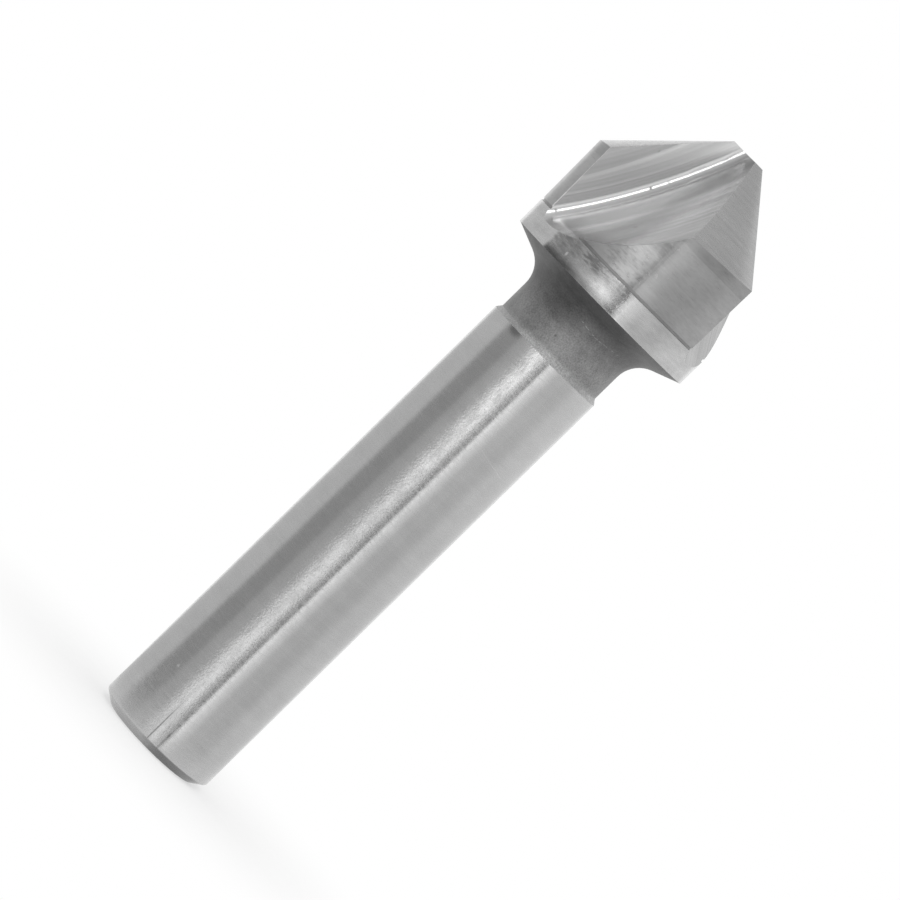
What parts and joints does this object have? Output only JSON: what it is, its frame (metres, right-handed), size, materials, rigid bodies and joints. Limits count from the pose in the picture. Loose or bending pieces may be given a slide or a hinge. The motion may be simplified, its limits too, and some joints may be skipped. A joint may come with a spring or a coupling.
{
  "type": "countersink bit",
  "caption": "Countersink bit of ground steel: a 90 degree fluted cutting cone with a flat tip, on a short cylindrical head, a thinner neck and a plain round shank.",
  "frame": {"origin": "centre of the shank's flat end face", "axes": "+Z along the tool's axis from the shank to the tip; +X lies in the first tooth's flat rake face, pointing at its cutting edge; +Y points out of that face into its flute"},
  "size_m": [0.0164, 0.0164, 0.06],
  "materials": {
    "ground_steel": "satin ground and turned tool steel"
  },
  "bodies": {
    "root": {"countersink_bit": "ground_steel"}
  },
  "joints": []
}
